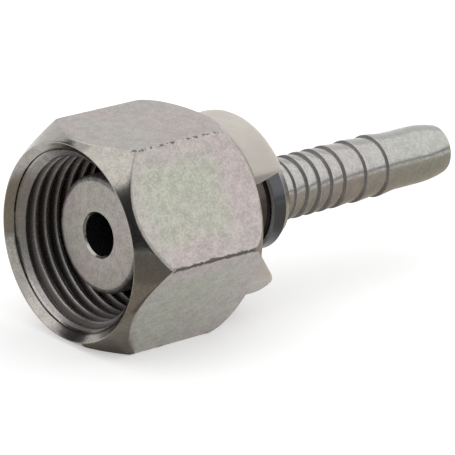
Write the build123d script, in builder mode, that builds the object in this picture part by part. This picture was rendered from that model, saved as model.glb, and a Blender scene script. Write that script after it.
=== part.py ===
import os
from math import atan2, cos, radians, sin, tan

from build123d import *

os.makedirs("parts", exist_ok=True)

# Frame: origin at the centre of the flat sealing face, +X along the bore towards the hose tail,
# +Z up. One flat of the nut's hexagon faces straight down. All lengths are in mm.

# Swivel nut
across_flats = 24.0
nut_len = 19.1
nose_recess = 4.4
mouth_rim_width = 0.2
mouth_taper_width = 0.75
mouth_taper_len = 1.0
mouth_cone_angle = 56.5
rear_face_r = 11.3
rear_face_len = 0.5
rear_round_len = 3.7
thread_major_r = 10.32
thread_pitch = 1.5875
thread_len = 11.0
countersink_clearance = 0.18
relief_clearance = 0.2
hole_chamfer = 0.3

# Bore and nose
bore_r = 2.45
bore_chamfer = 0.25
nose_r = 6.8
nose_edge = 0.6
nose_len = 7.0

# Flange that the nut's shoulder pulls against: it passes through the thread when the nut goes on
flange_thread_clearance = 0.7
flange_len = 2.9
flange_edge = 0.4
nut_float = 0.9

# Journal that the nut turns on, neck under the clip, and collar that the nut slips over
journal_r = 6.2
running_clearance = 0.1
journal_setback = 0.2
clip_neck_r = 5.5
collar_slip = 0.05
collar_len = 3.3
collar_front_chamfer = 0.25
collar_cone_len = 1.3
collar_cone_drop = 0.8

# Retaining clip: angles are measured round the bore from straight down towards -Y
clip_nut_gap = 0.3
clip_neck_clearance = 0.05
clip_collar_gap = 0.8
clip_width = 5.0
clip_outer_r = 10.8
clip_front_edge = 0.35
clip_crown = 0.9
clip_gap_from = 48.0
clip_gap_to = 126.0
clip_tip_fillet = 0.4

# Hose tail: each barb steps up on the nut's side and tapers towards the hose's end
tail_neck_r = 3.55
tail_neck_len = 2.6
barb_spacing = (1.9, 1.9, 1.95, 2.1, 3.3, 3.55)
barb_r = 3.75
barb_land = 0.3
barb_step = 0.35
barb_depth = 0.25
last_taper = 2.4
plain_drop = 0.3
plain_len = 4.3
tip_len = 3.9
tip_drop = 0.48
tip_edge_chamfer = 0.15

# Places along the bore
nut_start = -nose_recess
nut_end = nut_start + nut_len
flange_end = nose_len + flange_len
journal_end = nut_end - journal_setback
clip_start = nut_end + clip_nut_gap
clip_end = clip_start + clip_width
collar_start = clip_end + clip_collar_gap
collar_end = collar_start + collar_len
first_barb = collar_end + tail_neck_len

# Radii that one piece takes from another
thread_minor_r = thread_major_r - 5 / 8 * cos(radians(30)) * thread_pitch
flange_r = thread_minor_r - flange_thread_clearance
collar_r = journal_r - collar_slip
plain_r = barb_r - plain_drop
tip_r = plain_r - tip_drop


def rounding(start, end, steps=4):
    """Chords of the arc that leaves start along +X and bends towards the axis to reach end."""
    run, drop = end[0] - start[0], start[1] - end[1]
    arc_r = (run**2 + drop**2) / (2 * drop)
    turns = [2 * atan2(drop, run) * step / steps for step in range(1, steps + 1)]
    return [(start[0] + arc_r * sin(t), start[1] - arc_r * (1 - cos(t))) for t in turns]


# Hose insert: one turned bar with a bore right through
insert_outline = [
    (0, bore_r),
    (0, nose_r - nose_edge),
    (nose_edge * (1 - cos(radians(45))), nose_r - nose_edge * (1 - sin(radians(45)))),
    (nose_edge, nose_r),
    (nose_len, nose_r),
    (nose_len, flange_r - flange_edge),
    (nose_len + flange_edge, flange_r),
    (flange_end - flange_edge, flange_r),
    (flange_end, flange_r - flange_edge),
    (flange_end, journal_r),
    (journal_end, journal_r),
    (journal_end, clip_neck_r),
    (collar_start, clip_neck_r),
    (collar_start, collar_r - collar_front_chamfer),
    (collar_start + collar_front_chamfer, collar_r),
    (collar_end - collar_cone_len, collar_r),
    (collar_end, collar_r - collar_cone_drop),
    (collar_end, tail_neck_r),
    (first_barb - barb_step, tail_neck_r),
]
barb = first_barb
for spacing in barb_spacing:
    insert_outline += [
        (barb, barb_r),
        (barb + barb_land, barb_r),
        (barb + spacing - barb_step, barb_r - barb_depth),
    ]
    barb += spacing
plain_start = barb + barb_land + last_taper
plain_end = plain_start + plain_len
tail_end = plain_end + tip_len
insert_outline += [
    (barb, barb_r),
    (barb + barb_land, barb_r),
    (plain_start, plain_r),
    (plain_end, plain_r),
    *rounding((plain_end, plain_r), (tail_end, tip_r)),
    (tail_end, bore_r),
]

with BuildPart() as hose_insert:
    with BuildSketch(Plane.XY):
        with BuildLine():
            Polyline(*insert_outline, close=True)
        make_face()
    revolve(axis=Axis.X)
    for rim_r, end, size in ((bore_r, 0, bore_chamfer), (tip_r, -1, tip_edge_chamfer)):
        rims = hose_insert.edges().filter_by(GeomType.CIRCLE).sort_by(Axis.X)
        chamfer(rims.filter_by(lambda e: abs(e.radius - rim_r) < 0.001)[end], size)

hose_insert.part.label = "hose_insert"
export_step(hose_insert.part, "parts/hose_insert.step")

# Swivel nut: a hexagon bar turned to a cone at its mouth and rounded behind, then bored out
corner_r = across_flats / 2 / cos(radians(30))
countersink_r = thread_major_r + countersink_clearance
countersink_len = countersink_r - thread_minor_r
mouth_taper_r = countersink_r + mouth_taper_width
mouth_face_r = mouth_taper_r + mouth_rim_width
countersink_start = nut_start + mouth_taper_len
mouth_cone_end = nut_start + (corner_r - mouth_face_r) * tan(radians(mouth_cone_angle))
rear_round_end = nut_end - rear_face_len
rear_round_start = rear_round_end - rear_round_len
thread_end = nut_start + thread_len
relief_r = thread_major_r + relief_clearance
shoulder = flange_end + nut_float
nut_hole_r = journal_r + running_clearance
nut_turned = [
    (nut_start, 0),
    (nut_start, mouth_face_r),
    (mouth_cone_end, corner_r),
    (rear_round_start, corner_r),
    *rounding((rear_round_start, corner_r), (rear_round_end, rear_face_r)),
    (nut_end, rear_face_r),
    (nut_end, 0),
]
nut_bored = [
    (nut_start, 0),
    (nut_start, mouth_taper_r),
    (countersink_start, countersink_r),
    (countersink_start + countersink_len, thread_minor_r),
    (thread_end, thread_minor_r),
    (thread_end, relief_r),
    (shoulder, relief_r),
    (shoulder, nut_hole_r),
    (nut_end - hole_chamfer, nut_hole_r),
    (nut_end, nut_hole_r + hole_chamfer),
    (nut_end, 0),
]

with BuildPart() as swivel_nut:
    with BuildSketch(Plane.YZ.offset(nut_start)):
        RegularPolygon(across_flats / 2, 6, major_radius=False)
    extrude(amount=nut_len)
    with BuildSketch(Plane.XY):
        with BuildLine():
            Polyline(*nut_turned, close=True)
        make_face()
    revolve(axis=Axis.X, mode=Mode.INTERSECT)
    with BuildSketch(Plane.XY):
        with BuildLine():
            Polyline(*nut_bored, close=True)
        make_face()
    revolve(axis=Axis.X, mode=Mode.SUBTRACT)

swivel_nut.part.label = "swivel_nut"
export_step(swivel_nut.part, "parts/swivel_nut.step")

# Retaining clip: a moulded ring with a gap, so that it snaps on over the neck
clip_inner_r = clip_neck_r + clip_neck_clearance
crown_start = clip_end - clip_crown
crown_end_r = clip_outer_r - clip_crown
gap_reach = 2 * clip_outer_r
gap_wedge = [(0, 0)] + [
    (-gap_reach * sin(radians(a)), -gap_reach * cos(radians(a)))
    for a in (clip_gap_from, (clip_gap_from + clip_gap_to) / 2, clip_gap_to)
]

clip_outline = [
    (clip_start, clip_inner_r),
    (clip_start, clip_outer_r - clip_front_edge),
    (clip_start + clip_front_edge, clip_outer_r),
    (crown_start, clip_outer_r),
    *rounding((crown_start, clip_outer_r), (clip_end, crown_end_r)),
    (clip_end, clip_inner_r),
]

with BuildPart() as retaining_clip:
    with BuildSketch(Plane.XY):
        with BuildLine():
            Polyline(*clip_outline, close=True)
        make_face()
    revolve(axis=Axis.X)
    with BuildSketch(Plane.YZ.offset(clip_start)):
        with BuildLine():
            Polyline(*gap_wedge, close=True)
        make_face()
    extrude(amount=clip_width, mode=Mode.SUBTRACT)
    fillet(retaining_clip.edges().filter_by(Axis.X), clip_tip_fillet)

retaining_clip.part.label = "retaining_clip"
export_step(retaining_clip.part, "parts/retaining_clip.step")
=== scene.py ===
"""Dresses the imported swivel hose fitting.

It gives the three pieces finer skins and finishes of their own, and sets the studio's light and camera.
"""

import logging
import math
from dataclasses import dataclass
from enum import Enum
from itertools import accumulate

import bmesh
import bpy
import numpy as np
from mathutils import Matrix, Vector


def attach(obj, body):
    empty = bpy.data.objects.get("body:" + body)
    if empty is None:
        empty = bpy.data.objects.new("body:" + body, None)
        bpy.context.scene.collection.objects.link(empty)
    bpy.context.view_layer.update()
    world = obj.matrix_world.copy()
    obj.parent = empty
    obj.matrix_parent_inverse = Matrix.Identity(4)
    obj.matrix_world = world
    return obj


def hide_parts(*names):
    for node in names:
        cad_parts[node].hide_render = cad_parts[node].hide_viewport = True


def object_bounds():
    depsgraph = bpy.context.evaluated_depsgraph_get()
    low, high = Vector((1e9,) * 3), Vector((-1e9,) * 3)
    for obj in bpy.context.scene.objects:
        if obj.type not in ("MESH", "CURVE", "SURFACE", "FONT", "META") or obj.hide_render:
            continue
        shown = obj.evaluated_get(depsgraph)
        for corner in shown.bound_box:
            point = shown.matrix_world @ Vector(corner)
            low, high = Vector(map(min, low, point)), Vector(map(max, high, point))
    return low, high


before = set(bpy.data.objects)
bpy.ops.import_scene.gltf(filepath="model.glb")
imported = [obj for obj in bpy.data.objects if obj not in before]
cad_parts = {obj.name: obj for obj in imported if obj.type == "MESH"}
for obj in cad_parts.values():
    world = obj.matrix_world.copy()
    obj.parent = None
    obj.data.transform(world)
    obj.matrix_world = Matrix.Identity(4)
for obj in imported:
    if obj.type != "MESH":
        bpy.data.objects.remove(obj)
CAD_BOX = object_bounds()

LOG = logging.getLogger("fitting")
MM = 0.001
UP = Vector((0, 0, 1))

# Picture: its side in pixels and the camera's sensor in mm
IMAGE_SIDE = 455
SENSOR_WIDTH = 36.0

# Watts per square metre of a softbox for a radiance of 1
LAMP_WATTS = 4.0

# Edges: how far the painted dark reflection on one reaches in mm, and the turn in radians from which an edge
# takes it in full
EDGE_BAND_WIDTH = 0.28
FULL_EDGE_TURN = math.radians(30)

# Shares of a side that a corner's rounding, and the rounding with its support point, may take up
ROUNDING_SHARE = 0.4
SUPPORT_SHARE = 0.48

# Metres: points nearer than this are one, and the height that a bump of 1 stands for
MERGE_DISTANCE = 2e-7
BUMP_DISTANCE = 0.02 * MM

# Length in mm that stands for a side with none
SHORTEST_SIDE = 1e-6


class Body(Enum):
    """The bodies of the frame that the pieces ride on."""

    INSERT = "insert"
    NUT = "nut"
    CLIP = "clip"


class Slot(Enum):
    """The record's finishes."""

    INSERT = "plated_insert"
    NUT = "plated_nut"
    CLIP = "ivory_plastic"


class Zone(Enum):
    """Surfaces of a piece that take finishes of their own, numbered as its materials.

    MAIN is the nut's flats and the insert's tail, FACE the nut's turned faces and the insert's nose, DARK the
    nut's thread and the insert's bands in the nut and the clip, and STEP the steps of the insert's barbs and
    its collar's front chamfer. On the insert DARK is the collar's own dark band, and elsewhere painted shade
    on the parts inside the nut and the clip and in the bore; STEP is a darker finish that paints shade.
    """

    MAIN = 0
    FACE = 1
    DARK = 2
    STEP = 3


# ---------------------------------------------------------------------------------------------
# Outlines and skins
# ---------------------------------------------------------------------------------------------


@dataclass(frozen=True)
class Corner:
    """One corner of a turned outline, in mm: its place and rounding, and how much painted shade and painted
    dark edge reflection it takes.

    Its zone is that of the surface that starts there.
    """

    x: float
    r: float
    rounding: float = 0.0
    painted_shade: float = 0.0
    zone: Zone = Zone.MAIN
    edge_reflection: float = 0.5


@dataclass(frozen=True)
class Station:
    """One point of a finished outline, in mm, with its share of painted dark edge reflection and of painted
    shade.
    """

    x: float
    r: float
    painted_edge_reflection: float = 0.0
    painted_shade: float = 0.0
    zone: Zone = Zone.MAIN


def rounded(corners: list[Corner], steps: int = 3) -> list[Station]:
    """Rounds the corners of a closed outline and adds a support point on each side of them.

    Args:
        corners: The outline's corners in order; a corner with no rounding gives one plain point.
        steps: Chords in each rounding.

    Returns:
        The same number of stations for any outline with the same roundings.
    """
    stations = []
    count = len(corners)
    for place, corner in enumerate(corners):
        here = Vector((corner.x, corner.r))
        if not corner.rounding:
            stations.append(Station(corner.x, corner.r, 0.0, corner.painted_shade, corner.zone))
            continue
        before = corners[place - 1]
        after = corners[(place + 1) % count]
        back = Vector((before.x, before.r)) - here
        ahead = Vector((after.x, after.r)) - here
        back_len, ahead_len = max(back.length, SHORTEST_SIDE), max(ahead.length, SHORTEST_SIDE)
        back, ahead = back / back_len, ahead / ahead_len
        turn = math.pi - math.acos(max(-1.0, min(1.0, back.dot(ahead))))
        longest = ROUNDING_SHARE * min(back_len, ahead_len)
        reach = min(corner.rounding * math.tan(turn / 2), longest)
        edge_reflection = corner.edge_reflection * min(1.0, turn / FULL_EDGE_TURN)
        first, last = here + back * reach, here + ahead * reach
        far_back = here + back * min(reach + EDGE_BAND_WIDTH, SUPPORT_SHARE * back_len)
        far_ahead = here + ahead * min(reach + EDGE_BAND_WIDTH, SUPPORT_SHARE * ahead_len)
        stations.append(Station(far_back.x, far_back.y, 0.0, min(corner.painted_shade, before.painted_shade), before.zone))
        for step in range(steps + 1):
            share = step / steps
            point = (1 - share) ** 2 * first + 2 * share * (1 - share) * here + share**2 * last
            stations.append(Station(point.x, point.y, edge_reflection, corner.painted_shade, corner.zone))
        stations.append(Station(far_ahead.x, far_ahead.y, 0.0, min(corner.painted_shade, after.painted_shade), corner.zone))
    return stations


def tangent_arc(start: tuple[float, float], end: tuple[float, float], steps: int) -> list[Corner]:
    """Points of the arc that leaves start along +X and bends towards the axis to reach end.

    Args:
        start: Place (x, r) where the arc begins, in mm.
        end: Place (x, r) where it ends.
        steps: Chords in the arc.

    Returns:
        Plain corners after start, the last of them at end.
    """
    run, drop = end[0] - start[0], start[1] - end[1]
    arc_r = (run**2 + drop**2) / (2 * drop)
    turns = [2 * math.atan2(drop, run) * step / steps for step in range(1, steps + 1)]
    return [Corner(start[0] + arc_r * math.sin(t), start[1] - arc_r * (1 - math.cos(t))) for t in turns]


def add_object(name: str, data: bpy.types.ID) -> bpy.types.Object:
    """Makes an object of the data and links it into the scene.

    Args:
        name: The object's name.
        data: Its mesh, lamp or camera.

    Returns:
        The object.
    """
    made = bpy.data.objects.new(name, data)
    bpy.context.scene.collection.objects.link(made)
    return made


@dataclass
class Skin:
    """A grid of points round the X axis, in mm, that becomes one closed mesh.

    Columns run round the axis and rows along the outline. Both close on themselves unless open_ends
    is set, when the first and last columns are capped. The first helix_rows rows follow a thread, which
    moves on by helix_lead rows in each turn.
    """

    name: str
    points: np.ndarray
    marks: dict[str, np.ndarray]
    finish_of_row: list[int]
    helix_rows: int = 0
    helix_lead: int = 0
    open_ends: bool = False

    def faces(self) -> tuple[list[tuple[int, ...]], list[int]]:
        """Joins the grid's points into faces.

        Returns:
            The faces as point numbers, and the number of the finish that each wears.
        """
        columns, rows = self.points.shape[:2]
        last = columns - 1
        faces, finishes = [], []

        def quad(c0: int, r0: int, c1: int, r1: int) -> None:
            """Adds the face between two columns.

            Args:
                c0: The first column.
                r0: The row where the face starts on it.
                c1: The second column.
                r1: The row where the face starts on that one.
            """
            after0, after1 = (r0 + 1) % rows, (r1 + 1) % rows
            faces.append((c0 * rows + r0, c1 * rows + r1, c1 * rows + after1, c0 * rows + after0))
            finishes.append(self.finish_of_row[r0])

        for column in range(last):
            for row in range(rows):
                quad(column, row, column + 1, row)
        if self.open_ends:
            faces.append(tuple(range(rows)))
            faces.append(tuple(reversed(range(last * rows, last * rows + rows))))
            finishes += [self.finish_of_row[0]] * 2
            return faces, finishes
        helix_end = self.helix_rows - 1
        for row in range(rows):
            if row >= helix_end:
                quad(last, row, 0, row)
            elif row < helix_end - self.helix_lead:
                quad(last, row, 0, row + self.helix_lead)
        return faces, finishes

    def build(self, finishes: list[bpy.types.Material]) -> bpy.types.Object:
        """Makes the mesh object, in metres, with its marks as attributes.

        Args:
            finishes: The materials that finish_of_row counts.

        Returns:
            The new object, linked into the scene.
        """
        mesh = bpy.data.meshes.new(self.name)
        faces, wears = self.faces()
        mesh.from_pydata((self.points.reshape(-1, 3) * MM).tolist(), [], faces)
        for label, values in self.marks.items():
            layer = mesh.attributes.new(label, "FLOAT", "POINT")
            layer.data.foreach_set("value", values.astype(np.float32).ravel())
        mesh.polygons.foreach_set("material_index", wears)
        for finish in finishes:
            mesh.materials.append(finish)
        work = bmesh.new()
        work.from_mesh(mesh)
        bmesh.ops.remove_doubles(work, verts=work.verts, dist=MERGE_DISTANCE)
        bmesh.ops.dissolve_degenerate(work, edges=work.edges, dist=MERGE_DISTANCE)
        bmesh.ops.recalc_face_normals(work, faces=work.faces)
        for face in work.faces:
            face.smooth = True
        work.to_mesh(mesh)
        work.free()
        piece = add_object(self.name, mesh)
        weighted = piece.modifiers.new("weighted_normals", "WEIGHTED_NORMAL")
        weighted.mode = "FACE_AREA"
        return piece


def lathe(name: str, stations: list[Station], columns: int, rim: float) -> Skin:
    """Turns an outline round the X axis.

    Args:
        name: The piece's name.
        stations: The closed outline.
        columns: Divisions of the turn.
        rim: How far its whole surface leans to the second tint.

    Returns:
        The skin, each row in the finish of its station's zone.
    """
    turn = np.linspace(0, 2 * np.pi, columns, endpoint=False)[:, None]
    x = np.array([s.x for s in stations])[None, :]
    r = np.array([s.r for s in stations])[None, :]
    points = np.stack([x + 0 * turn, r * np.cos(turn), r * np.sin(turn)], axis=-1)
    marks = {
        "painted_edge_reflection": np.array([s.painted_edge_reflection for s in stations])[None, :] + 0 * turn,
        "painted_shade": np.array([s.painted_shade for s in stations])[None, :] + 0 * turn,
        "rim": np.full(points.shape[:2], rim),
    }
    return Skin(name, points, marks, [s.zone.value for s in stations])


# ---------------------------------------------------------------------------------------------
# Shader nodes
# ---------------------------------------------------------------------------------------------

Colour = tuple[float, float, float, float]
Feed = bpy.types.NodeSocket | float | tuple[float, ...]


class NodeSheet:
    """A node tree under construction, with short calls for its nodes and links."""

    def __init__(self, tree: bpy.types.NodeTree) -> None:
        """Empties the tree and starts on it."""
        self.tree = tree
        tree.nodes.clear()

    def node(self, kind: str, **settings: object) -> bpy.types.Node:
        """Adds a node.

        Args:
            kind: The node's type.
            **settings: Properties to set on it.

        Returns:
            The node.
        """
        made = self.tree.nodes.new(kind)
        for name, value in settings.items():
            setattr(made, name, value)
        return made

    def feed(self, socket: bpy.types.NodeSocket, value: Feed) -> None:
        """Feeds a socket.

        Args:
            socket: The input to feed.
            value: The socket to link it to, or a value of its own.
        """
        if isinstance(value, bpy.types.NodeSocket):
            self.tree.links.new(value, socket)
        else:
            socket.default_value = value

    def math(self, operation: str, *values: Feed) -> bpy.types.NodeSocket:
        """Adds a Math node.

        Args:
            operation: What it works out.
            *values: What it works on.

        Returns:
            The result.
        """
        made = self.node("ShaderNodeMath", operation=operation)
        for place, value in enumerate(values):
            self.feed(made.inputs[place], value)
        return made.outputs[0]

    def span(self, share: Feed, low: float, high: float) -> bpy.types.NodeSocket:
        """Returns low where share is 0, high where it is 1, and what lies between."""
        return self.math("ADD", self.math("MULTIPLY", share, high - low), low)

    def mix(self, factor: Feed, first: Feed, second: Feed) -> bpy.types.NodeSocket:
        """Mixes two colours.

        Args:
            factor: The second colour's share.
            first: The first colour.
            second: The second colour.

        Returns:
            The colour.
        """
        made = self.node("ShaderNodeMix", data_type="RGBA", clamp_factor=True)
        for place, value in ((0, factor), (6, first), (7, second)):
            self.feed(made.inputs[place], value)
        return made.outputs[2]

    def noise(
        self, vector: Feed, scale: Feed, detail: float = 2.0, rough: float = 0.5,
    ) -> bpy.types.NodeSocket:
        """Adds a noise texture.

        Args:
            vector: Where it is read.
            scale: How fine it is.
            detail: How many finer layers it has.
            rough: How strong each finer layer is.

        Returns:
            Its value.
        """
        made = self.node("ShaderNodeTexNoise")
        for name, value in (("Vector", vector), ("Scale", scale), ("Detail", detail), ("Roughness", rough)):
            self.feed(made.inputs[name], value)
        return made.outputs["Fac"]

    def step(self, value: Feed, low: Feed, high: Feed) -> bpy.types.NodeSocket:
        """Adds a smooth step.

        Args:
            value: What is looked at.
            low: Where the step is still 0.
            high: Where it has reached 1.

        Returns:
            The step's height.
        """
        made = self.node("ShaderNodeMapRange", interpolation_type="SMOOTHSTEP")
        for name, given in (("Value", value), ("From Min", low), ("From Max", high)):
            self.feed(made.inputs[name], given)
        return made.outputs["Result"]

    def place(self) -> bpy.types.NodeSocket:
        """Returns the surface's place in the piece's own metres."""
        return self.node("ShaderNodeTexCoord").outputs["Object"]

    def attribute(self, label: str) -> bpy.types.NodeSocket:
        """Returns a named value of the mesh."""
        return self.node("ShaderNodeAttribute", attribute_name=label).outputs["Fac"]

    def group(self, effect: bpy.types.NodeTree, **values: Feed) -> bpy.types.Node:
        """Places a node group.

        Args:
            effect: The group.
            **values: What its sockets get; underscores in a socket's name stand for spaces.

        Returns:
            The group's node.
        """
        made = self.node("ShaderNodeGroup", node_tree=effect)
        for name, value in values.items():
            self.feed(made.inputs[name.replace("_", " ")], value)
        return made

    def bump(self, height: Feed, strength: float) -> bpy.types.NodeSocket:
        """Adds a Bump node.

        Args:
            height: The surface's height, as a share of BUMP_DISTANCE.
            strength: How much of it shows.

        Returns:
            The bumped normal.
        """
        made = self.node("ShaderNodeBump")
        for name, value in (("Strength", strength), ("Distance", BUMP_DISTANCE), ("Height", height)):
            self.feed(made.inputs[name], value)
        return made.outputs["Normal"]


def new_material(name: str, shader: str) -> tuple[bpy.types.Material, NodeSheet, bpy.types.Node]:
    """Starts a material.

    Args:
        name: The material's name.
        shader: The type of its shader.

    Returns:
        The material, the sheet to build on and the shader's node, which already feeds the surface.
    """
    material = bpy.data.materials.new(name)
    material.use_nodes = True
    sheet = NodeSheet(material.node_tree)
    out = sheet.node("ShaderNodeOutputMaterial")
    surface = sheet.node(shader)
    sheet.feed(out.inputs["Surface"], surface.outputs[0])
    return material, sheet, surface


@dataclass(frozen=True)
class GroupSocket:
    """One socket of a node group."""

    name: str
    kind: str = "NodeSocketFloat"
    is_output: bool = False


def new_group(name: str, sockets: list[GroupSocket]) -> tuple[NodeSheet, bpy.types.Node, bpy.types.Node]:
    """Starts a shader node group.

    Args:
        name: The group's name.
        sockets: Its sockets in order.

    Returns:
        The sheet to build on, the group's input node and its output node.
    """
    tree = bpy.data.node_groups.new(name, "ShaderNodeTree")
    for socket in sockets:
        side = "OUTPUT" if socket.is_output else "INPUT"
        tree.interface.new_socket(name=socket.name, in_out=side, socket_type=socket.kind)
    sheet = NodeSheet(tree)
    return sheet, sheet.node("NodeGroupInput"), sheet.node("NodeGroupOutput")


class Effects:
    """The node groups that the finishes share, each built once."""

    def __init__(self) -> None:
        """Builds every group."""
        self.bloom = self._bloom()
        self.grain = self._grain()
        self.turning = self._turning()
        self.marks = self._marks()

    def _bloom(self) -> bpy.types.NodeTree:
        """Broad patches that lean to the first tint in a face's middle and to the second by its rim.

        Returns:
            The group.
        """
        colour = "NodeSocketColor"
        rim_pull, second_from, second_to = 0.55, 0.52, 0.92
        cloud_ratio, cloud_from, cloud_to = 1.7, 0.25, 0.6
        sheet, given, out = new_group("plating_bloom", [
            *[GroupSocket(name, colour) for name in ("Tone", "First Tint", "Second Tint")],
            *[GroupSocket(name) for name in ("Patch Scale", "Rim", "Strength")],
            GroupSocket("Color", colour, is_output=True),
        ])
        place = sheet.place()
        patches = sheet.noise(place, given.outputs["Patch Scale"])
        lean = sheet.math("ADD", sheet.math("MULTIPLY", given.outputs["Rim"], rim_pull), patches)
        second_share = sheet.step(lean, second_from, second_to)
        tint = sheet.mix(second_share, given.outputs["First Tint"], given.outputs["Second Tint"])
        clouds = sheet.noise(place, sheet.math("MULTIPLY", given.outputs["Patch Scale"], cloud_ratio))
        cover = sheet.step(clouds, cloud_from, cloud_to)
        amount = sheet.math("MULTIPLY", cover, given.outputs["Strength"])
        sheet.feed(out.inputs["Color"], sheet.mix(amount, given.outputs["Tone"], tint))
        return sheet.tree

    def _grain(self) -> bpy.types.NodeTree:
        """Fine mottling of a satin or moulded surface.

        Returns:
            The group.
        """
        fine_detail, fine_rough, coarse_ratio = 3.0, 0.65, 0.27
        fine_share, coarse_share = 0.65, 0.35
        pale_to, dark_from = 0.36, 0.64
        sheet, given, out = new_group("fine_grain", [
            GroupSocket("Scale"), GroupSocket("Depth"), GroupSocket("Shade", is_output=True),
            GroupSocket("Height", is_output=True),
        ])
        place = sheet.place()
        fine = sheet.noise(place, given.outputs["Scale"], fine_detail, fine_rough)
        coarse = sheet.noise(place, sheet.math("MULTIPLY", given.outputs["Scale"], coarse_ratio))
        both = sheet.math(
            "ADD", sheet.math("MULTIPLY", fine, fine_share), sheet.math("MULTIPLY", coarse, coarse_share),
        )
        sheet.feed(out.inputs["Shade"], sheet.step(both, pale_to, dark_from))
        sheet.feed(out.inputs["Height"], sheet.math("MULTIPLY", both, given.outputs["Depth"]))
        return sheet.tree

    def _turning(self) -> bpy.types.NodeTree:
        """Fine rings that a cutting tool leaves on turned and faced surfaces.

        Returns:
            The group.
        """
        face_ratio, line_detail = 0.83, 2.0
        sheet, given, out = new_group("turning_marks", [
            GroupSocket("Scale"), GroupSocket("Depth"), GroupSocket("Height", is_output=True),
        ])
        split = sheet.node("ShaderNodeSeparateXYZ")
        sheet.feed(split.inputs[0], sheet.place())
        squares = [sheet.math("MULTIPLY", split.outputs[axis], split.outputs[axis]) for axis in ("Y", "Z")]
        radius = sheet.math("SQRT", sheet.math("ADD", *squares))
        along = sheet.math("ADD", split.outputs["X"], sheet.math("MULTIPLY", radius, face_ratio))
        line = sheet.node("ShaderNodeTexNoise", noise_dimensions="1D")
        for name, value in (("W", along), ("Scale", given.outputs["Scale"]), ("Detail", line_detail)):
            sheet.feed(line.inputs[name], value)
        sheet.feed(out.inputs["Height"], sheet.math("MULTIPLY", line.outputs["Fac"], given.outputs["Depth"]))
        return sheet.tree

    def _marks(self) -> bpy.types.NodeTree:
        """Masks the painted dark reflection along edges and the painted shade in corners and recesses, broken
        up or even.

        Returns:
            The group.
        """
        breakup_detail, breakup_rough, noise_middle = 3.0, 0.6, 0.5
        sheet, given, out = new_group("broken_marks", [
            *[GroupSocket(name) for name in ("Place", "Scale", "Cover", "Breakup", "Softness")],
            GroupSocket("Mask", is_output=True),
        ])
        breakup_noise = sheet.noise(sheet.place(), given.outputs["Scale"], breakup_detail, breakup_rough)
        swing = sheet.math("SUBTRACT", breakup_noise, noise_middle)
        broken = sheet.math("MULTIPLY", swing, given.outputs["Breakup"])
        level = sheet.math("ADD", given.outputs["Place"], broken)
        bar = sheet.math("SUBTRACT", 1.0, given.outputs["Cover"])
        mask = sheet.step(level, bar, sheet.math("ADD", bar, given.outputs["Softness"]))
        sheet.feed(out.inputs["Mask"], mask)
        return sheet.tree


# ---------------------------------------------------------------------------------------------
# Finishes
# ---------------------------------------------------------------------------------------------


@dataclass(frozen=True)
class PlatedFinish:
    """Zinc-plated steel: satin, faintly bloomed, with a painted dark reflection along its edges and painted
    shade in its corners and recesses.
    """

    name: str
    tone: Colour
    first_tint: Colour
    second_tint: Colour
    patch_scale: float = 48.0
    bloom: float = 0.85
    grain_scale: float = 3600.0
    grain_depth: float = 0.5
    shade_depth: float = 0.26
    shade_tone: Colour = (0.06, 0.06, 0.06, 1)
    turning_scale: float = 5200.0
    turning_depth: float = 0.0
    bump_strength: float = 0.35
    roughness: tuple[float, float] = (0.3, 0.4)
    metallic: float = 1.0
    edge_reflection_scale: float = 1300.0
    edge_reflection_cover: float = 0.02
    edge_reflection_breakup: float = 1.5
    edge_reflection_softness: float = 0.15
    edge_reflection_tone: Colour = (0.11, 0.1, 0.087, 1)
    painted_shade_scale: float = 900.0
    painted_shade_cover: float = 0.25
    painted_shade_breakup: float = 0.3
    painted_shade_softness: float = 0.25
    painted_shade_tone: Colour = (0.03, 0.028, 0.027, 1)

    def make(self, effects: Effects) -> bpy.types.Material:
        """Builds the material.

        Args:
            effects: The shared node groups.

        Returns:
            The material.
        """
        material, sheet, skin = new_material(self.name, "ShaderNodeBsdfPrincipled")
        bloom = sheet.group(
            effects.bloom, Tone=self.tone, First_Tint=self.first_tint, Second_Tint=self.second_tint,
            Patch_Scale=self.patch_scale, Rim=sheet.attribute("rim"), Strength=self.bloom,
        )
        grain = sheet.group(effects.grain, Scale=self.grain_scale, Depth=self.grain_depth)
        turning = sheet.group(effects.turning, Scale=self.turning_scale, Depth=self.turning_depth)
        # The first marks group paints a dark reflection along edges, the second paints shade in corners,
        # thread valleys and recesses.
        edge_reflection = sheet.group(
            effects.marks, Place=sheet.attribute("painted_edge_reflection"), Scale=self.edge_reflection_scale, Cover=self.edge_reflection_cover,
            Breakup=self.edge_reflection_breakup, Softness=self.edge_reflection_softness,
        )
        painted_shade = sheet.group(
            effects.marks, Place=sheet.attribute("painted_shade"), Scale=self.painted_shade_scale, Cover=self.painted_shade_cover,
            Breakup=self.painted_shade_breakup, Softness=self.painted_shade_softness,
        )
        shade = sheet.math("MULTIPLY", grain.outputs["Shade"], self.shade_depth)
        grained = sheet.mix(shade, bloom.outputs["Color"], self.shade_tone)
        edge_reflected = sheet.mix(edge_reflection.outputs["Mask"], grained, self.edge_reflection_tone)
        height = sheet.math("ADD", grain.outputs["Height"], turning.outputs["Height"])
        sheet.feed(skin.inputs["Base Color"], sheet.mix(painted_shade.outputs["Mask"], edge_reflected, self.painted_shade_tone))
        sheet.feed(skin.inputs["Roughness"], sheet.span(grain.outputs["Shade"], *self.roughness))
        sheet.feed(skin.inputs["Normal"], sheet.bump(height, self.bump_strength))
        sheet.feed(skin.inputs["Metallic"], self.metallic)
        return material


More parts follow.
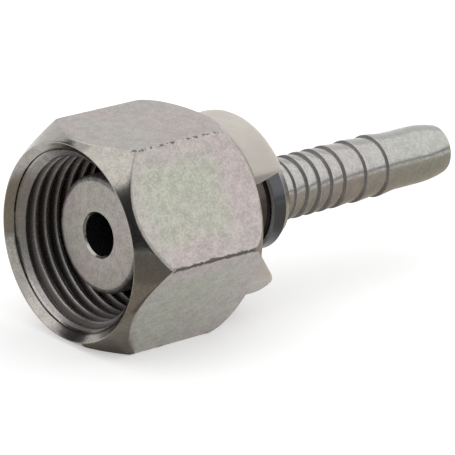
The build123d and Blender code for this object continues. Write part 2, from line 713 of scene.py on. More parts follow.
@dataclass(frozen=True)
class MouldedFinish:
    """Ivory moulded plastic with a soft, slightly clouded surface. The glow's depth is in mm."""

    name: str
    tone: Colour
    cloud: Colour
    cloud_scale: float = 160.0
    cloud_strength: float = 0.8
    grain_scale: float = 2600.0
    grain_depth: float = 0.4
    shade_depth: float = 0.08
    shade_tone: Colour = (0.3, 0.26, 0.22, 1)
    bump_strength: float = 0.25
    roughness: tuple[float, float] = (0.42, 0.54)
    painted_shade_scale: float = 1500.0
    painted_shade_cover: float = 0.4
    painted_shade_breakup: float = 1.0
    painted_shade_softness: float = 0.18
    glow_weight: float = 0.6
    glow_radius: tuple[float, float, float] = (1.0, 0.8, 0.6)
    glow_depth: float = 1.6

    def make(self, effects: Effects) -> bpy.types.Material:
        """Builds the material.

        Args:
            effects: The shared node groups.

        Returns:
            The material.
        """
        material, sheet, skin = new_material(self.name, "ShaderNodeBsdfPrincipled")
        bloom = sheet.group(
            effects.bloom, Tone=self.tone, First_Tint=self.cloud, Second_Tint=self.tone,
            Patch_Scale=self.cloud_scale, Rim=sheet.attribute("rim"), Strength=self.cloud_strength,
        )
        grain = sheet.group(effects.grain, Scale=self.grain_scale, Depth=self.grain_depth)
        # Painted shade from the mesh's marks, in the shade tone: on the clip, where its front corner meets
        # the nut.
        painted_shade = sheet.group(
            effects.marks, Place=sheet.attribute("painted_shade"), Scale=self.painted_shade_scale, Cover=self.painted_shade_cover,
            Breakup=self.painted_shade_breakup, Softness=self.painted_shade_softness,
        )
        shade = sheet.math("MULTIPLY", grain.outputs["Shade"], self.shade_depth)
        mottled = sheet.mix(shade, bloom.outputs["Color"], self.shade_tone)
        sheet.feed(skin.inputs["Base Color"], sheet.mix(painted_shade.outputs["Mask"], mottled, self.shade_tone))
        sheet.feed(skin.inputs["Roughness"], sheet.span(grain.outputs["Shade"], *self.roughness))
        sheet.feed(skin.inputs["Normal"], sheet.bump(grain.outputs["Height"], self.bump_strength))
        for name, value in (("Weight", self.glow_weight), ("Radius", self.glow_radius),
                            ("Scale", self.glow_depth * MM)):
            sheet.feed(skin.inputs[f"Subsurface {name}"], value)
        return material


# ---------------------------------------------------------------------------------------------
# The fitting's three pieces
# ---------------------------------------------------------------------------------------------


@dataclass(frozen=True)
class Column:
    """One column of the nut's skin: its turn about the axis in radians, and its reach from the axis in mm.

    It also holds the painted dark edge reflection that its corner gives it, its distance from that corner in
    mm, and how far its flat leans to the second tint.
    """

    turn: float
    reach: float
    edge_reflection: float
    inward: float
    lean: float


@dataclass
class SwivelNut:
    """The hexagon nut: mouth cone, rounded rear edge and a real right-hand thread. Sizes in mm.

    The columns near a corner stand at edge_columns from it and take a painted dark edge reflection, a dark
    line along each edge that stands for the dark studio it faces, in the shares of edge_reflection_falloff.
    flat_end_boost adds to it at a flat's ends up to flat_end_reach from a corner. The second tint reaches
    rim_width in from a flat's
    rim: less far by mouth_ease at the mouth, and further by rear_ease at the rear. How far each flat and the
    turned faces lean to it is in flat_lean and turned_rim.
    """

    across_flats: float = 24.0
    start: float = -4.4
    end: float = 14.7
    mouth_face_r: float = 11.45
    mouth_taper_r: float = 11.38
    mouth_taper_end: float = -3.6
    cone_angle: float = 56.5
    round_start: float = 10.5
    round_end: float = 14.2
    rear_face_r: float = 11.3
    corner_rounding: float = 0.2
    corner_reflection: tuple[float, ...] = (0.95, 0.9, 1.0, 1.0, 1.25, 1.0)
    edge_columns: tuple[float, ...] = (0.0, 0.12, EDGE_BAND_WIDTH, 0.7)
    edge_reflection_falloff: tuple[float, ...] = (1.0, 0.85, 0.6, 0.0)
    first_inner_column: float = 1.4
    arris_rounding: float = 0.2
    cone_rounding: float = 1.0
    flat_end_boost: float = 0.5
    flat_end_reach: float = 2.0
    rim_width: float = 3.6
    mouth_ease: float = 1.5
    rear_ease: float = 0.6
    turned_rim: float = 0.5
    flat_lean: tuple[float, ...] = (0.3, 0.2, 0.4, 0.45, -0.04, -0.12)
    countersink_start: float = -3.4
    countersink_r: float = 10.5
    thread_major_r: float = 10.32
    thread_pitch: float = 1.5875
    thread_end: float = 6.6
    thread_unshaded_len: float = 0.9
    thread_shade_rise: float = 0.4
    relief_r: float = 10.52
    shoulder: float = 10.8
    hole_r: float = 6.3
    hole_chamfer: float = 0.3
    mouth_edge: float = 0.07
    lead_in: float = 0.2
    columns_on_flat: int = 18
    corner_steps: int = 4
    round_stations: int = 9
    flat_stations: int = 13

    @property
    def thread_minor_r(self) -> float:
        """Radius of the thread's crests."""
        return self.thread_major_r - 5 / 8 * math.cos(math.radians(30)) * self.thread_pitch

    def section(self) -> list[Column]:
        """Goes once round the hexagon with its rounded corners.

        Returns:
            The columns in order.
        """
        apothem = self.across_flats / 2
        half = apothem * math.tan(math.radians(30))
        straight = half - self.corner_rounding * math.tan(math.radians(30))
        inset = apothem - self.corner_rounding
        near = [straight - inward for inward in self.edge_columns]
        edge_reflection = dict(zip(near, self.edge_reflection_falloff))
        inner = straight - self.first_inner_column
        places = [-t for t in near] + np.linspace(-inner, inner, self.columns_on_flat).tolist() + near[::-1]
        columns = []
        for flat, lean in enumerate(self.flat_lean):
            turn = math.radians(60 * flat)
            for t in places:
                # Columns near a corner take a painted dark reflection, full at the corner and fading inwards.
                edge_reflected = self.corner_reflection[flat if t > 0 else flat - 1] * edge_reflection.get(abs(t), 0.0)
                bearing, reach = turn + math.atan2(t, apothem), math.hypot(t, apothem)
                columns.append(Column(bearing, reach, edge_reflected, half - abs(t), lean))
            for step in range(1, self.corner_steps):
                bend = math.radians(60 * step / self.corner_steps)
                up = inset + self.corner_rounding * math.cos(bend)
                out = straight + self.corner_rounding * math.sin(bend)
                bearing, reach = turn + math.atan2(out, up), math.hypot(out, up)
                columns.append(Column(bearing, reach, self.corner_reflection[flat], 0.0, lean))
        return columns

    def thread_offsets(self) -> list[tuple[float, float, float]]:
        """The thread's outline over one pitch, from a crest.

        Returns:
            Triples of (share of the pitch, radius in mm, painted shade there from 0 to 1, full in the valleys
            and none on the crest).
        """
        low, high = self.thread_minor_r, self.thread_major_r
        crest, flank, root = 0.25, 0.3125, 0.125
        soft, crest_drop, root_drop = 0.03, 0.35, 0.03
        rise = (high - low) / flank
        crest_edge, root_edge = low + crest_drop * soft * rise, high - root_drop
        root_start = crest + flank
        root_end = root_start + root
        return [
            (0.0, crest_edge, 0.0), (soft, low, 0.0), (crest / 2, low, 0.15), (crest - soft, low, 0.5),
            (crest, crest_edge, 1.0), (crest + soft, low + soft * rise, 1.0),
            (crest + flank / 2, (low + high) / 2, 1.0), (root_start - soft, high - soft * rise, 1.0),
            (root_start, root_edge, 1.0), (root_start + root / 2, high, 1.0), (root_end, root_edge, 1.0),
            (root_end + soft, high - soft * rise, 1.0), (root_end + flank / 2, (low + high) / 2, 0.95),
            (1 - soft, low + soft * rise, 0.4),
        ]

    def bore_radius(self, x: float, phase: float) -> float:
        """Radius of the threaded bore.

        Args:
            x: Place along the axis in mm.
            phase: Turns about the axis from the thread's start.

        Returns:
            The radius in mm, with the countersink cut through the thread.
        """
        outline = self.thread_offsets()
        shares = [share for share, _, _ in outline] + [1.0]
        radii = [radius for _, radius, _ in outline] + [outline[0][1]]
        inside = x - self.countersink_start
        threaded = float(np.interp((inside / self.thread_pitch - phase) % 1.0, shares, radii))
        return max(threaded, self.countersink_r - inside)

    def body_corners(self, reach: float) -> list[Corner]:
        """Outline of the nut at one column, from the thread's end round the rear to the mouth's rim.

        Args:
            reach: Distance of the hexagon's side from the axis there, in mm.

        Returns:
            The corners in order, with a guide on the thread's line before and after them.
        """
        corner_r = self.across_flats / 2 / math.cos(math.radians(30))
        cone_end = self.start + (reach - self.mouth_face_r) * math.tan(math.radians(self.cone_angle))
        run, drop = self.round_end - self.round_start, corner_r - self.rear_face_r
        arc_r = (run**2 + drop**2) / (2 * drop)
        arc_end = 2 * math.atan2(drop, run)
        arc_start = math.acos(1 - (corner_r - reach) / arc_r)
        arc = [
            (self.round_start + arc_r * math.sin(turn), corner_r - arc_r * (1 - math.cos(turn)))
            for turn in np.linspace(arc_end, arc_start, self.round_stations)
        ]
        flat = np.linspace(arc[-1][0], cone_end, self.flat_stations)[1:-1]
        hole_end = self.end - self.hole_chamfer
        countersunk_r = self.countersink_r - self.lead_in
        # Painted shade: full in the thread relief and on the shoulder inside the nut, less in the rear hole
        # and at the rear corner, and a painted dark line on the mouth's narrow land.
        return [
            Corner(self.thread_end, self.thread_minor_r),
            Corner(self.thread_end, self.relief_r, 0.0, 1.0, Zone.DARK),
            Corner(self.shoulder, self.relief_r, 0.0, 1.0, Zone.DARK),
            Corner(self.shoulder, self.hole_r, 0.05, 0.8, Zone.DARK),
            Corner(hole_end, self.hole_r, 0.04, 0.3, Zone.FACE),
            Corner(self.end, self.hole_r + self.hole_chamfer, 0.04, 0.0, Zone.FACE),
            Corner(self.end, self.rear_face_r, 0.12, 0.0, Zone.FACE),
            Corner(self.round_end, self.rear_face_r, 0.08, 0.5, Zone.FACE),
            *[Corner(x, r, zone=Zone.FACE) for x, r in arc[1:-1]],
            Corner(arc[-1][0], arc[-1][1], self.arris_rounding),
            *[Corner(float(x), reach) for x in flat],
            Corner(cone_end, reach, self.cone_rounding, zone=Zone.FACE),
            Corner(self.start, self.mouth_face_r, 0.06, zone=Zone.FACE, edge_reflection=0.2),
            Corner(self.start, self.mouth_taper_r, 0.1, zone=Zone.FACE, edge_reflection=0.2),
            Corner(self.mouth_taper_end, self.countersink_r, self.mouth_edge, 0.9, Zone.FACE, 0.0),
            Corner(self.countersink_start, self.countersink_r, self.mouth_edge, 0.88, Zone.FACE, 0.0),
            Corner(self.countersink_start + self.lead_in, countersunk_r),
        ]

    def bore_stations(self, phase: float) -> list[Station]:
        """The threaded bore at one column, from the mouth inwards.

        Args:
            phase: Turns about the axis from the thread's start.

        Returns:
            As many stations for every column, those beyond the thread's ends drawn onto them.
        """
        outline = self.thread_offsets()
        lead = len(outline)
        begin = self.countersink_start
        turns = math.ceil((self.thread_end - begin) / self.thread_pitch) + 1
        stations = []
        for row in range(turns * lead + 1):
            share, _, valley_shade = outline[row % lead]
            x = begin + (row // lead - 1 + share + phase) * self.thread_pitch
            x = min(max(x, begin + self.lead_in), self.thread_end)
            # Painted shade in the thread's valleys: none just inside the mouth, rising to full deeper in.
            inside = min(1.0, max(0.0, (x - begin - self.thread_unshaded_len) / self.thread_shade_rise))
            stations.append(Station(x, self.bore_radius(x, phase), 0.0, valley_shade * inside, Zone.DARK))
        return stations

    def marks_of(self, column: Column, stations: list[Station]) -> dict[str, list[float]]:
        """Works out the painted dark edge reflection, the painted shade and the closeness to a flat's rim
        along one column.

        Args:
            column: The column.
            stations: Its points.

        Returns:
            The values by their attribute's name.
        """
        flat = [s.x for s in stations if s.zone is Zone.MAIN]
        mouth, rear = min(flat) - self.mouth_ease, max(flat)
        flat_end_boost = self.flat_end_boost * max(0.0, 1 - column.inward / self.flat_end_reach)
        marks = {"painted_edge_reflection": [], "painted_shade": [s.painted_shade for s in stations], "rim": []}
        for s in stations:
            on_flat = s.zone is Zone.MAIN
            # Painted dark reflection along edges, stronger at a flat's ends near a corner.
            marks["painted_edge_reflection"].append(max(s.painted_edge_reflection + flat_end_boost if s.painted_edge_reflection else 0.0, column.edge_reflection if on_flat else 0.0))
            inward = min(column.inward, s.x - mouth, self.rear_ease * (rear - s.x))
            rim = column.lean + max(0.0, 1 - inward / self.rim_width)
            marks["rim"].append(rim if on_flat else self.turned_rim)
        return marks

    def build(self, effects: Effects) -> bpy.types.Object:
        """Makes the nut and sets it in the place of its solid.

        Args:
            effects: The shared node groups.

        Returns:
            The finished piece.
        """
        grid, marks = [], []
        for column in self.section():
            bore = self.bore_stations(column.turn / (2 * math.pi))
            stations = bore + rounded(self.body_corners(column.reach))[1:-2]
            grid.append([(s.x, s.r * math.sin(column.turn), -s.r * math.cos(column.turn)) for s in stations])
            marks.append(self.marks_of(column, stations))
        layers = {label: np.array([values[label] for values in marks]) for label in marks[0]}
        skin = Skin(
            "swivel_nut_skin", np.array(grid), layers, [s.zone.value for s in stations],
            helix_rows=len(bore), helix_lead=len(self.thread_offsets()),
        )
        flats = PlatedFinish(
            "zinc_plate_flats", (0.415, 0.402, 0.364, 1), (0.41, 0.428, 0.35, 1), (0.447, 0.386, 0.378, 1),
        )
        turned = PlatedFinish(
            "zinc_plate_turned", (0.39, 0.37, 0.335, 1), (0.38, 0.37, 0.32, 1), (0.39, 0.36, 0.335, 1),
            roughness=(0.16, 0.22), turning_depth=0.35,
        )
        # A darker copy of the plating that paints shade on the thread inside the nut; its marks paint more
        # shade in the valleys.
        thread = PlatedFinish(
            "zinc_plate_thread", (0.36, 0.35, 0.335, 1), (0.34, 0.33, 0.31, 1), (0.37, 0.34, 0.33, 1),
            roughness=(0.25, 0.35), metallic=0.75, turning_depth=0.2, painted_shade_cover=0.85, painted_shade_breakup=0.0,
            painted_shade_softness=0.6, painted_shade_tone=(0.085, 0.075, 0.072, 1),
        )
        piece = skin.build([finish.make(effects) for finish in (flats, turned, thread)])
        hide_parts("swivel_nut")
        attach(piece, Body.NUT.value)
        return piece


@dataclass
class HoseInsert:
    """The turned insert: nose with the flow bore, journal, collar and barbed hose tail. Sizes in mm."""

    bore_r: float = 2.45
    bore_chamfer: float = 0.25
    nose_r: float = 6.8
    nose_edge: float = 0.6
    nose_len: float = 7.0
    flange_r: float = 8.76
    flange_end: float = 9.9
    flange_edge: float = 0.4
    journal_r: float = 6.2
    journal_end: float = 14.5
    clip_neck_r: float = 5.5
    collar_start: float = 20.8
    collar_r: float = 6.15
    collar_front: float = 0.25
    collar_cone_start: float = 22.8
    collar_end: float = 24.1
    collar_end_r: float = 5.35
    neck_r: float = 3.55
    first_barb: float = 26.7
    barb_spacing: tuple[float, ...] = (1.9, 1.9, 1.95, 2.1, 3.3, 3.55)
    barb_r: float = 3.75
    barb_land: float = 0.3
    barb_step: float = 0.25
    barb_depth: float = 0.25
    last_taper: float = 2.4
    plain_r: float = 3.45
    plain_end: float = 48.4
    tail_end: float = 52.3
    tip_r: float = 2.97
    tip_edge: float = 0.15
    tail_rim: float = 0.35
    columns: int = 144
    edge_steps: int = 5
    tip_steps: int = 6
    bore_rows: int = 14

    def barbs(self) -> list[Corner]:
        """Outline of the barbs, from the neck to the plain end.

        Returns:
            The corners in order.
        """
        corners = []
        for place in accumulate(self.barb_spacing, initial=self.first_barb):
            low_r = self.barb_r - self.barb_depth if corners else self.neck_r
            # The step before each barb's crest takes the step finish, which paints shade on it.
            corners += [
                Corner(place - self.barb_step, low_r, 0.06, 0.3, Zone.STEP, 0.0),
                Corner(place, self.barb_r, 0.08, edge_reflection=0.0),
                Corner(place + self.barb_land, self.barb_r),
            ]
        corners.append(Corner(place + self.barb_land + self.last_taper, self.plain_r))
        return corners

    def outline(self) -> list[Corner]:
        """The whole outline, from the bore's mouth over the outside and back through the bore.

        Returns:
            The corners in order.
        """
        nose, dark = Zone.FACE, Zone.DARK
        bore = np.linspace(self.tail_end - self.tip_edge, self.bore_chamfer, self.bore_rows)[1:-1]
        # Painted shade: on the nose's rim, on the parts inside the nut and the clip, in the bore and in the
        # neck behind the collar. The barbs' steps and the collar's front chamfer take a darker finish that
        # paints shade. The collar's band is dark of its own.
        return [
            Corner(self.bore_chamfer, self.bore_r, 0.03),
            Corner(0.0, self.bore_r + self.bore_chamfer, 0.04, 0.0, nose),
            Corner(0.0, self.nose_r, self.nose_edge, 0.9, nose, 0.0),
            Corner(self.nose_len, self.nose_r, 0.05, 1.0, dark),
            Corner(self.nose_len, self.flange_r - self.flange_edge, 0.05, 1.0, dark),
            Corner(self.nose_len + self.flange_edge, self.flange_r, 0.05, 0.9, dark),
            Corner(self.flange_end - self.flange_edge, self.flange_r, 0.05, 0.9, dark),
            Corner(self.flange_end, self.flange_r - self.flange_edge, 0.05, 0.9, dark),
            Corner(self.flange_end, self.journal_r, 0.05, 0.9, dark),
            Corner(self.journal_end, self.journal_r, 0.05, 0.9, dark),
            Corner(self.journal_end, self.clip_neck_r, 0.05, 1.0, dark),
            Corner(self.collar_start, self.clip_neck_r, 0.05, 1.0, dark),
            Corner(self.collar_start, self.collar_r - self.collar_front, 0.05, 0.0, Zone.STEP),
            Corner(self.collar_start + self.collar_front, self.collar_r, 0.05, 0.0, dark),
            Corner(self.collar_cone_start, self.collar_r, 0.08),
            Corner(self.collar_end, self.collar_end_r, 0.15),
            Corner(self.collar_end, self.neck_r, 0.1, 0.6),
            *self.barbs(),
            Corner(self.plain_end, self.plain_r),
            *tangent_arc((self.plain_end, self.plain_r), (self.tail_end, self.tip_r), self.tip_steps)[:-1],
            Corner(self.tail_end, self.tip_r, self.tip_edge, 0.0),
            Corner(self.tail_end, self.bore_r + self.tip_edge, 0.1),
            Corner(self.tail_end - self.tip_edge, self.bore_r, 0.05, 0.9, dark),
            *[Corner(float(x), self.bore_r, 0.0, 1.0, dark) for x in bore],
        ]

    def build(self, effects: Effects) -> bpy.types.Object:
        """Makes the insert and sets it in the place of its solid.

        Args:
            effects: The shared node groups.

        Returns:
            The finished piece.
        """
        tail = PlatedFinish(
            "zinc_plate_tail", (0.40, 0.40, 0.38, 1), (0.39, 0.405, 0.365, 1), (0.41, 0.385, 0.375, 1),
            roughness=(0.18, 0.26), turning_depth=0.35, painted_shade_cover=0.45, painted_shade_softness=0.3,
            painted_shade_tone=(0.1, 0.098, 0.094, 1),
        )
        # A lighter, rougher copy of the plating: its lighter tone paints light onto the nose, which sits in
        # the nut's shadow.
        nose = PlatedFinish(
            "zinc_plate_nose", (0.46, 0.43, 0.395, 1), (0.44, 0.45, 0.38, 1), (0.49, 0.42, 0.405, 1),
            patch_scale=130.0, shade_depth=0.3, roughness=(0.45, 0.55), metallic=0.8, turning_depth=0.25,
            painted_shade_tone=(0.1, 0.098, 0.1, 1),
        )
        # A near-black copy of the plating: the collar's own dark band, and painted shade on the flange,
        # journal and neck inside the nut and the clip, and in the bore.
        dark = PlatedFinish(
            "dark_band_and_painted_shade", (0.075, 0.08, 0.09, 1), (0.07, 0.08, 0.095, 1), (0.08, 0.08, 0.085, 1),
            roughness=(0.22, 0.28), metallic=0.85, turning_depth=0.3, painted_shade_tone=(0.07, 0.057, 0.05, 1),
        )
        # A darker, duller copy of the plating that paints shade on the barbs' steps and the collar's front
        # chamfer.
        step = PlatedFinish(
            "barb_step", (0.18, 0.178, 0.168, 1), (0.18, 0.18, 0.16, 1), (0.19, 0.177, 0.17, 1),
            roughness=(0.5, 0.6), metallic=0.3, turning_depth=0.3,
        )
        stations = rounded(self.outline(), self.edge_steps)
        skin = lathe("hose_insert_skin", stations, self.columns, self.tail_rim)
        piece = skin.build([finish.make(effects) for finish in (tail, nose, dark, step)])
        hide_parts("hose_insert")
        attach(piece, Body.INSERT.value)
        return piece


@dataclass
class RetainingClip:
    """The moulded ring with a gap that snaps on behind the nut. Sizes in mm, angles in degrees."""

    start: float = 15.0
    end: float = 20.0
    inner_r: float = 5.55
    outer_r: float = 10.8
    front_edge: float = 0.35
    crown: float = 0.9
    gap_from: float = 48.0
    gap_to: float = 126.0
    tip_rounding: float = 0.4
    tip_steps: int = 4
    crown_steps: int = 6
    sections: int = 96

    def outline(self) -> list[Corner]:
        """The clip's section.

        Returns:
            The corners in order.
        """
        crown_start = (self.end - self.crown, self.outer_r)
        crown_end = (self.end, self.outer_r - self.crown)
        # The front corner, next to the nut, takes painted shade.
        return [
            Corner(self.start, self.inner_r, 0.12),
            Corner(self.start, self.outer_r - self.front_edge, 0.1, 0.75),
            Corner(self.start + self.front_edge, self.outer_r, 0.1, 0.45),
            Corner(*crown_start),
            *tangent_arc(crown_start, crown_end, self.crown_steps),
            Corner(self.end, self.inner_r, 0.15),
        ]

    def turns(self) -> list[tuple[float, float]]:
        """Goes round the ring from one end to the other.

        Returns:
            For each section its turn in radians and how far its outline is drawn in, in mm.
        """
        first, last = math.radians(self.gap_to), math.radians(360 + self.gap_from)
        tip = self.tip_rounding / ((self.inner_r + self.outer_r) / 2)
        quarter = [math.radians(90 * step / self.tip_steps) for step in range(self.tip_steps + 1)]
        ease = [tip * (1 - math.cos(lean)) for lean in quarter]
        turns = [first + e for e in ease]
        turns += np.linspace(first + 2 * tip, last - 2 * tip, self.sections).tolist()
        turns += [last - e for e in reversed(ease)]
        into = [min(1.0, (turn - first) / tip, (last - turn) / tip) for turn in turns]
        insets = [self.tip_rounding * (1 - math.sqrt(max(0.0, 1 - (1 - share) ** 2))) for share in into]
        return list(zip(turns, insets))

    def build(self, effects: Effects) -> bpy.types.Object:
        """Makes the clip and sets it in the place of its solid.

        Args:
            effects: The shared node groups.

        Returns:
            The finished piece.
        """
        stations = rounded(self.outline())
        middle_x, middle_r = (self.start + self.end) / 2, (self.inner_r + self.outer_r) / 2
        half_x, half_r = (self.end - self.start) / 2, (self.outer_r - self.inner_r) / 2
        grid = []
        for turn, inset in self.turns():
            ring = []
            for s in stations:
                x = middle_x + (s.x - middle_x) * (1 - inset / half_x)
                r = middle_r + (s.r - middle_r) * (1 - inset / half_r)
                ring.append((x, -r * math.sin(turn), -r * math.cos(turn)))
            grid.append(ring)
        painted_shade = np.array([[s.painted_shade for s in stations]] * len(grid))
        marks = {"painted_shade": painted_shade, "rim": np.zeros(painted_shade.shape)}
        skin = Skin("retaining_clip_skin", np.array(grid), marks, [0] * len(stations), open_ends=True)
        ivory = MouldedFinish("ivory_moulding", (0.60, 0.565, 0.51, 1), (0.55, 0.50, 0.46, 1))
        piece = skin.build([ivory.make(effects)])
        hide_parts("retaining_clip")
        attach(piece, Body.CLIP.value)
        return piece


# ---------------------------------------------------------------------------------------------
# Studio
# ---------------------------------------------------------------------------------------------


def toward(azimuth: float, elevation: float) -> Vector:
    """Unit vector from the fitting towards a place in the studio.

    Args:
        azimuth: Degrees from -Y towards +X.
        elevation: Degrees above the horizon.

    Returns:
        The vector.
    """
    a, e = math.radians(azimuth), math.radians(elevation)
    return Vector((math.sin(a) * math.cos(e), -math.cos(a) * math.cos(e), math.sin(e)))


@dataclass
class StudioCamera:
    """The camera, by the direction it looks from and where the origin falls in its frame."""

    azimuth: float = -42.24
    elevation: float = 19.6
    roll: float = 2.27
    focal_pixels: float = 4033.0
    origin_mm: tuple[float, float, float] = (-14.44, -0.87, -450.0)
    clip_start: float = 0.01
    clip_end: float = 10.0

    def build(self) -> None:
        """Makes the camera and sets it as the scene's."""
        back = toward(self.azimuth, self.elevation)
        right = UP.cross(back).normalized()
        above = back.cross(right)
        c, s = math.cos(math.radians(self.roll)), math.sin(math.radians(self.roll))
        axes = Matrix((c * right + s * above, c * above - s * right, back)).transposed()
        data = bpy.data.cameras.new("studio_camera")
        data.sensor_width = SENSOR_WIDTH
        data.lens = self.focal_pixels * SENSOR_WIDTH / IMAGE_SIDE
        data.clip_start, data.clip_end = self.clip_start, self.clip_end
        camera = add_object("studio_camera", data)
        place = -(axes @ Vector(self.origin_mm)) * MM
        camera.matrix_world = Matrix.Translation(place) @ axes.to_4x4()
        bpy.context.scene.camera = camera


@dataclass(frozen=True)
class Softbox:
    """A large soft lamp aimed at the fitting; its radiance adds to that of the white surroundings.

    Angles are in degrees and sizes in metres.
    """

    name: str
    azimuth: float
    elevation: float
    width: float
    height: float
    radiance: float
    distance: float = 0.5

    def build(self, centre: Vector) -> None:
        """Makes the lamp.

        Args:
            centre: What it is aimed at, in metres.
        """
        data = bpy.data.lights.new(self.name, "AREA")
        data.shape = "RECTANGLE"
        data.size, data.size_y = self.width, self.height
        data.energy = self.radiance * LAMP_WATTS * self.width * self.height
        back = toward(self.azimuth, self.elevation)
        lamp = add_object(self.name, data)
        lamp.location = centre + back * self.distance
        lamp.rotation_mode = "QUATERNION"
        lamp.rotation_quaternion = (-back).to_track_quat("-Z", "Y")


def level_corners(low: tuple[float, float], high: tuple[float, float], height: float) -> list[Vector]:
    """Corners of a level rectangle, in order and in metres.

    Args:
        low: Its lowest corner (x, y) in mm.
        high: Its highest corner in mm.
        height: Where it lies, in metres.

    Returns:
        The four corners.
    """
    (x0, y0), (x1, y1) = low, high
    return [Vector((x * MM, y * MM, height)) for x, y in ((x0, y0), (x1, y0), (x1, y1), (x0, y1))]


def staged_sheet(name: str, corners: list[Vector], material: bpy.types.Material) -> bpy.types.Object:
    """Makes a flat sheet of the stage, which isn't part of the fitting.

    Args:
        name: The sheet's name.
        corners: Its corners in order, in metres.
        material: Its material.

    Returns:
        The sheet.
    """
    mesh = bpy.data.meshes.new(name)
    mesh.from_pydata([tuple(corner) for corner in corners], [], [tuple(range(len(corners)))])
    mesh.materials.append(material)
    made = add_object(name, mesh)
    return made


def hidden_sheet(name: str, corners: list[Vector], tone: Colour) -> None:
    """Makes a matt sheet that the plated steel reflects and that no camera sees.

    Args:
        name: The sheet's name.
        corners: Its corners in order, in metres.
        tone: Its colour.
    """
    material, sheet, felt = new_material(name, "ShaderNodeBsdfDiffuse")
    sheet.feed(felt.inputs["Color"], tone)
    made = staged_sheet(name, corners, material)
    made.visible_camera = False
    made.visible_shadow = False
    made.visible_diffuse = False


@dataclass(frozen=True)
class DarkCard:
    """A dark card that stands beside the fitting and faces it. Angles in degrees, sizes in metres."""

    name: str
    azimuth: float
    elevation: float
    width: float
    height: float
    tone: Colour = (0.05, 0.05, 0.055, 1)
    distance: float = 0.45

    def build(self, centre: Vector) -> None:
        """Makes the card.

        Args:
            centre: What it faces, in metres.
        """
        back = toward(self.azimuth, self.elevation)
        right = UP.cross(back).normalized() * self.width / 2
        above = back.cross(right).normalized() * self.height / 2
        middle = centre + back * self.distance
        sides = ((-1, -1), (1, -1), (1, 1), (-1, 1))
        hidden_sheet(self.name, [middle + across * right + up * above for across, up in sides], self.tone)


@dataclass(frozen=True)
class FloorCloth:
    """A cloth that lies on the floor, by its lowest and highest corner in mm."""

    name: str
    low: tuple[float, float]
    high: tuple[float, float]
    tone: Colour

    def build(self, height: float) -> None:
        """Lays the cloth at a height in metres."""
        hidden_sheet(self.name, level_corners(self.low, self.high, height), self.tone)


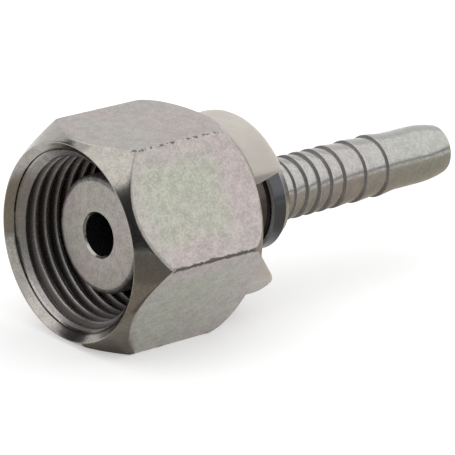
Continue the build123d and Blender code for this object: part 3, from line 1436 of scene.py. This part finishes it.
@dataclass
class Studio:
    """White surroundings, a pale floor, soft lamps, and dark sheets that only reflections show.

    The floor's gap and half side are in mm.
    """

    floor_gap: float = 0.02
    floor_half: float = 2000.0
    floor_tone: Colour = (0.8, 0.8, 0.8, 1)
    floor_glow: float = 0.4
    surround_tone: Colour = (1, 1, 1, 1)
    plain_level: float = 0.68
    lamps: tuple[Softbox, ...] = (
        Softbox("right_softbox", 70.0, 40.0, 0.7, 0.6, 0.36),
        Softbox("top_softbox", -95.0, 62.0, 0.5, 0.5, 0.42),
        Softbox("back_softbox", 145.0, 58.0, 0.4, 0.3, 0.4),
    )
    cards: tuple[DarkCard, ...] = (
        DarkCard("camera_side_card", -36.0, 25.0, 0.38, 0.54),
        DarkCard("horizon_strip", 48.0, 4.5, 0.6, 0.03),
        DarkCard("mouth_side_card", -156.0, 32.0, 0.26, 0.22),
    )
    cloths: tuple[FloorCloth, ...] = (
        FloorCloth("mouth_cloth", (-150.0, -28.0), (-5.5, 6.0), (0.47, 0.42, 0.36, 1)),
        FloorCloth("cone_cloth", (-150.0, -300.0), (-5.5, -28.0), (0.26, 0.25, 0.225, 1)),
        FloorCloth("rim_cloth", (-5.5, -300.0), (0.0, -13.5), (0.26, 0.25, 0.225, 1)),
        FloorCloth("toe_cloth", (-5.5, -13.5), (0.0, -2.0), (0.62, 0.59, 0.53, 1)),
        FloorCloth("tail_cloth", (30.0, -300.0), (140.0, 30.0), (0.68, 0.61, 0.53, 1)),
    )

    def white_to_the_eye(self, sheet: NodeSheet) -> bpy.types.NodeSocket:
        """Tells what the camera sees, straight or in a reflection, from what lights the scene.

        Args:
            sheet: Where the nodes go.

        Returns:
            1 for camera, glossy and transmission rays and 0 for the rest.
        """
        path = sheet.node("ShaderNodeLightPath")
        seen = sheet.math("MAXIMUM", path.outputs["Is Camera Ray"], path.outputs["Is Glossy Ray"])
        return sheet.math("MAXIMUM", seen, path.outputs["Is Transmission Ray"])

    def build_world(self) -> None:
        """Lights the scene evenly and shows white behind it."""
        world = bpy.data.worlds.new("studio")
        world.use_nodes = True
        bpy.context.scene.world = world
        sheet = NodeSheet(world.node_tree)
        out = sheet.node("ShaderNodeOutputWorld")
        glow = sheet.node("ShaderNodeBackground")
        sheet.feed(glow.inputs["Color"], self.surround_tone)
        sheet.feed(glow.inputs["Strength"], sheet.span(self.white_to_the_eye(sheet), self.plain_level, 1.0))
        sheet.feed(out.inputs["Surface"], glow.outputs[0])

    def build_floor(self, height: float) -> None:
        """Makes the floor.

        Args:
            height: Where it lies, in metres.
        """
        material, sheet, both = new_material("floor", "ShaderNodeAddShader")
        paper = sheet.node("ShaderNodeBsdfDiffuse")
        sheet.feed(paper.inputs["Color"], self.floor_tone)
        glow = sheet.node("ShaderNodeEmission")
        shown = self.white_to_the_eye(sheet)
        sheet.feed(glow.inputs["Strength"], sheet.math("MULTIPLY", shown, self.floor_glow))
        for place, shader in enumerate((paper, glow)):
            sheet.feed(both.inputs[place], shader.outputs[0])
        half = self.floor_half
        staged_sheet("floor", level_corners((-half, -half), (half, half), height), material)

    def build(self, box: tuple[Vector, Vector]) -> None:
        """Makes the surroundings, the floor, the lamps, the cards and the cloths.

        Args:
            box: Lowest and highest corner of the fitting, in metres.
        """
        low, high = box
        centre = (low + high) / 2
        self.build_world()
        self.build_floor(low.z - self.floor_gap * MM)
        for aimed in (*self.lamps, *self.cards):
            aimed.build(centre)
        for cloth in self.cloths:
            cloth.build(low.z - self.floor_gap / 2 * MM)


def main() -> None:
    """Builds the studio and the fitting."""
    logging.basicConfig(level=logging.INFO, format="%(name)s: %(message)s")
    bpy.context.scene.view_settings.view_transform = "Standard"
    StudioCamera().build()
    Studio().build(CAD_BOX)
    effects = Effects()
    for part in (SwivelNut(), HoseInsert(), RetainingClip()):
        piece = part.build(effects)
        LOG.info("%s: %d points, %d faces", piece.name, len(piece.data.vertices), len(piece.data.polygons))


if __name__ == "__main__":
    main()
